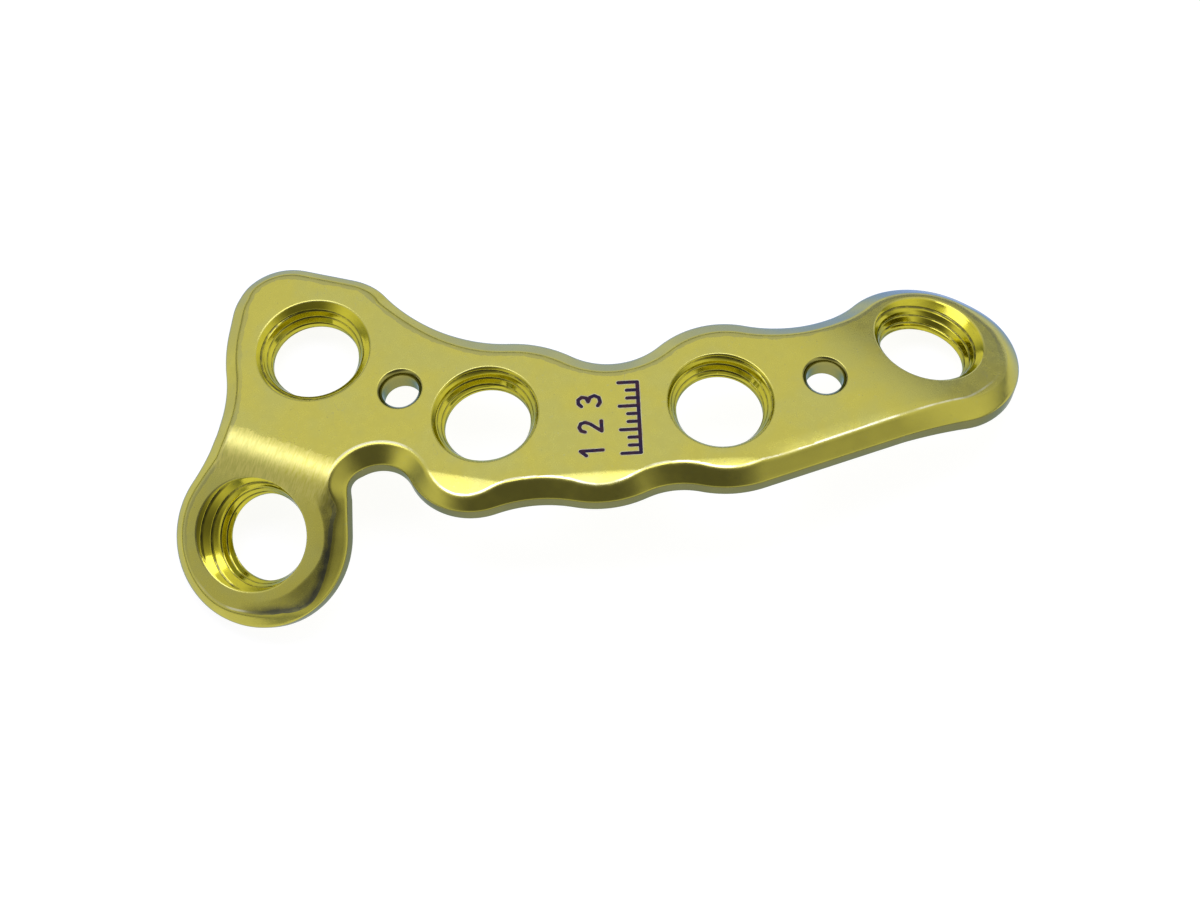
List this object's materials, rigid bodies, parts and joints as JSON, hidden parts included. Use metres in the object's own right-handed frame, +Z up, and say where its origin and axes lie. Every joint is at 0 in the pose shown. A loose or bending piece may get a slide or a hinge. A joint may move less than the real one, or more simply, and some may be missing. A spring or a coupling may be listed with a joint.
{
  "type": "orthopedic bone plate",
  "caption": "Contoured locking bone plate with a scalloped outline, an angled tab at one end and a folded lobe at the other, with threaded countersunk screw holes and guide wire holes.",
  "frame": {"origin": "middle of the plate's bounding box, at its lowest points, where it lies at rest", "axes": "+Z up from the ground it lies on, +X along the shaft from the tab end to the folded end, +Y to the far side seen from the front; the side that faces away from the bone is up"},
  "size_m": [0.0424, 0.0186, 0.0078],
  "materials": {
    "anodised_titanium": "satin greenish-gold anodised titanium"
  },
  "bodies": {
    "root": {"bone_plate": "anodised_titanium"}
  },
  "joints": []
}
